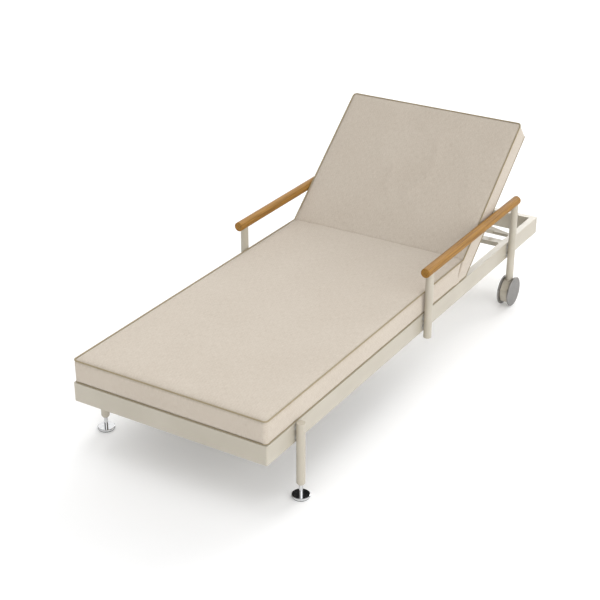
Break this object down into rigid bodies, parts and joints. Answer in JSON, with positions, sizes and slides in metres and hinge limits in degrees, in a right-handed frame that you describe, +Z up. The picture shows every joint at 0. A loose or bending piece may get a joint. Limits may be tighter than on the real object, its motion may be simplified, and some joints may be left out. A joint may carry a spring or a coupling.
{
  "type": "reclining sun lounger",
  "caption": "Low outdoor sun lounger: box-rail frame on front legs and rear wheels, round wooden armrests, a thick mattress and a back that reclines on a stay.",
  "frame": {"origin": "on the ground, under the middle of the frame's length and width", "axes": "+X across the lounger to the right as seen from the foot end, +Y from the foot end to the head end, +Z up"},
  "size_m": [0.812, 2, 0.7185],
  "materials": {
    "frame_paint": "satin",
    "mattress_fabric": "matte",
    "teak": "satin",
    "glide_chrome": "polished",
    "wheel_metal": "satin",
    "zinc_steel": "satin",
    "black_rubber": "matte",
    "bush_nylon": "matte"
  },
  "bodies": {
    "frame": {"arm_post_left": "frame_paint", "arm_post_right": "frame_paint", "arm_screws": "zinc_steel", "armrest_left": "teak", "armrest_right": "teak", "axle_bushes": "bush_nylon", "foot_rail": "frame_paint", "front_leg_left": "frame_paint", "front_leg_right": "frame_paint", "glide_inserts": "frame_paint", "head_rail": "frame_paint", "hinge_bolts": "zinc_steel", "leg_bolts": "zinc_steel", "leg_spacers": "zinc_steel", "rack_left": "frame_paint", "rack_right": "frame_paint", "rack_screws": "zinc_steel", "rack_tie_plate": "frame_paint", "rear_crossbeam": "frame_paint", "rear_leg_left": "frame_paint", "rear_leg_right": "frame_paint", "rest_blocks": "black_rubber", "seat_cushion": "mattress_fabric", "seat_slat_1": "frame_paint", "seat_slat_2": "frame_paint", "seat_slat_3": "frame_paint", "seat_slat_4": "frame_paint", "seat_slat_5": "frame_paint", "seat_slat_6": "frame_paint", "side_rail_left": "frame_paint", "side_rail_right": "frame_paint", "tube_plugs": "frame_paint", "wheel_hub_left": "frame_paint", "wheel_hub_right": "frame_paint"},
    "backrest": {"back_side_tube_left": "frame_paint", "back_side_tube_right": "frame_paint", "back_head_tube": "frame_paint", "back_stay_tube": "frame_paint", "back_slat_1": "frame_paint", "back_slat_2": "frame_paint", "back_slat_3": "frame_paint", "back_slat_4": "frame_paint", "hinge_bushes": "bush_nylon", "stay_brackets": "frame_paint", "stay_pins": "zinc_steel", "back_cushion": "mattress_fabric"},
    "stay": {"stay_arm_left": "frame_paint", "stay_arm_right": "frame_paint", "stay_foot_rod": "frame_paint"},
    "wheelset_left": {"wheel_axle_left": "zinc_steel", "wheel_outer_left": "wheel_metal", "wheel_inner_left": "wheel_metal"},
    "foot_left": {"glide_left": "glide_chrome", "glide_pad_left": "black_rubber"},
    "wheelset_right": {"wheel_axle_right": "zinc_steel", "wheel_outer_right": "wheel_metal", "wheel_inner_right": "wheel_metal"},
    "foot_right": {"glide_right": "glide_chrome", "glide_pad_right": "black_rubber"}
  },
  "joints": [
    {"name": "recline", "type": "hinge", "parent": "frame", "child": "backrest", "pos_m": [0, 0.344, 0.246], "axis": [1, 0, 0], "range_deg": [-40, 0]},
    {"name": "stay_swing", "type": "hinge", "parent": "backrest", "child": "stay", "pos_m": [0, 0.53369, 0.37775], "axis": [1, 0, 0], "range_deg": [0, 66.7]},
    {"name": "left_wheel_spin", "type": "hinge", "parent": "frame", "child": "wheelset_left", "pos_m": [-0.377, 0.708, 0.0575], "axis": [1, 0, 0], "continuous": true},
    {"name": "right_wheel_spin", "type": "hinge", "parent": "frame", "child": "wheelset_right", "pos_m": [0.377, 0.708, 0.0575], "axis": [1, 0, 0], "continuous": true},
    {"name": "left_glide_level", "type": "slide", "parent": "frame", "child": "foot_left", "axis": [0, 0, 1], "range_m": [0, 0.02]},
    {"name": "right_glide_level", "type": "slide", "parent": "frame", "child": "foot_right", "axis": [0, 0, 1], "range_m": [0, 0.02]}
  ],
  "couplings": [
    {"joint": "stay_swing", "follows": "recline", "ratio": -1.6663}
  ]
}
